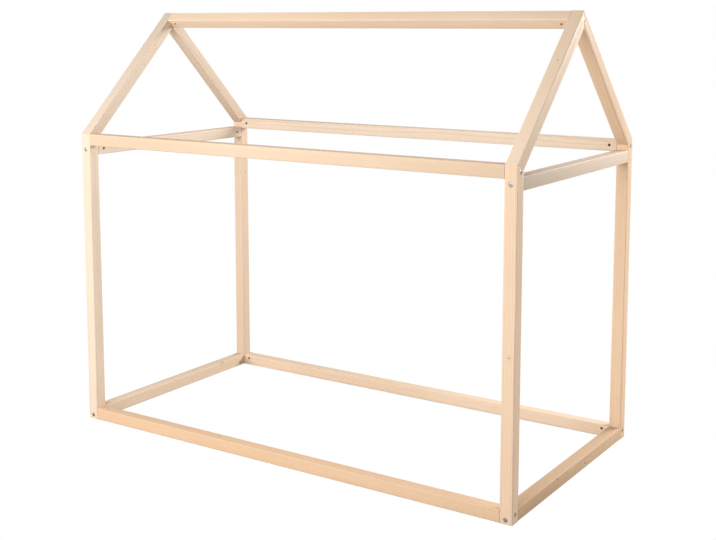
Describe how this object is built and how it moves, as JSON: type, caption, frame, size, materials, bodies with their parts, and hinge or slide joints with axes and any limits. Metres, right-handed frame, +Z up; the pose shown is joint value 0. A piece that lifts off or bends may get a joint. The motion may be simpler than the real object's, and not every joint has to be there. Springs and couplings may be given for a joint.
{
  "type": "house frame bed",
  "caption": "House-shaped frame for a child's floor bed: square posts, rails butted between them, mitred rafters and a ridge beam set corner-up.",
  "frame": {"origin": "on the floor, under the middle of the frame", "axes": "+X along the bed to its right end, +Y across it from the open front to the rear, +Z up"},
  "size_m": [1.75, 0.91, 1.5094],
  "materials": {
    "pine": "planed and sanded pine, left bare",
    "bolt_steel": "zinc-plated steel, dulled",
    "nut_steel": "zinc-plated steel",
    "dowel_beech": "turned beech"
  },
  "bodies": {
    "root": {"base_end_bolts": "bolt_steel", "base_end_dowels": "dowel_beech", "base_end_nuts": "nut_steel", "base_rail_front": "pine", "base_rail_left": "pine", "base_rail_rear": "pine", "base_rail_right": "pine", "base_side_bolts": "bolt_steel", "base_side_dowels": "dowel_beech", "base_side_nuts": "nut_steel", "eaves_bolts": "bolt_steel", "eaves_dowels": "dowel_beech", "eaves_nuts": "nut_steel", "eaves_rail_front": "pine", "eaves_rail_rear": "pine", "mitre_dowels": "dowel_beech", "peak_dowels": "dowel_beech", "post_front_left": "pine", "post_front_right": "pine", "post_rear_left": "pine", "post_rear_right": "pine", "rafter_front_left": "pine", "rafter_front_right": "pine", "rafter_rear_left": "pine", "rafter_rear_right": "pine", "ridge_beam": "pine", "ridge_bolts": "bolt_steel", "ridge_dowels": "dowel_beech", "ridge_nuts": "nut_steel", "tie_bolts": "bolt_steel", "tie_dowels": "dowel_beech", "tie_nuts": "nut_steel", "tie_rail_left": "pine", "tie_rail_right": "pine"}
  },
  "joints": []
}
